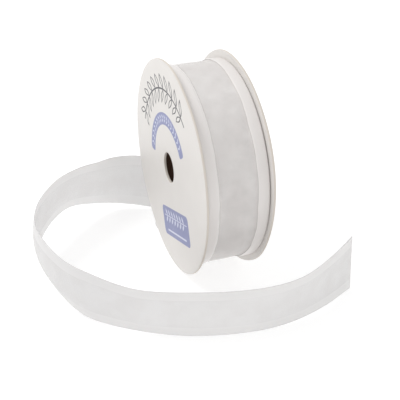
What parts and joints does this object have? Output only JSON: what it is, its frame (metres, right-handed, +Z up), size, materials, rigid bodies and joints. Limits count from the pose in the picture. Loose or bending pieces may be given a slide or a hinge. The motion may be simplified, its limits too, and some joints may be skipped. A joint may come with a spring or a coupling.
{
  "type": "roll of organza ribbon",
  "caption": "Satin-edged sheer ribbon wound on a flanged card spool, with a loose end that twists on to its edge and curls round to the front.",
  "frame": {"origin": "middle of the near flange's flat foot, on the surface that the spool stands on", "axes": "+X along the axle from the near flange to the far one, +Y backwards, away from the loop's front, +Z up"},
  "size_m": [0.1042, 0.1, 0.0769],
  "materials": {
    "card": "smooth warm white coated card with a plain blue print",
    "core_card": "raw brown paper tube",
    "ribbon": "white sheer organza with closely woven satin edges"
  },
  "bodies": {
    "root": {"flange_near": "card", "flange_far": "card", "core": "core_card", "ribbon_roll": "ribbon", "ribbon_tail": "ribbon"}
  },
  "joints": []
}
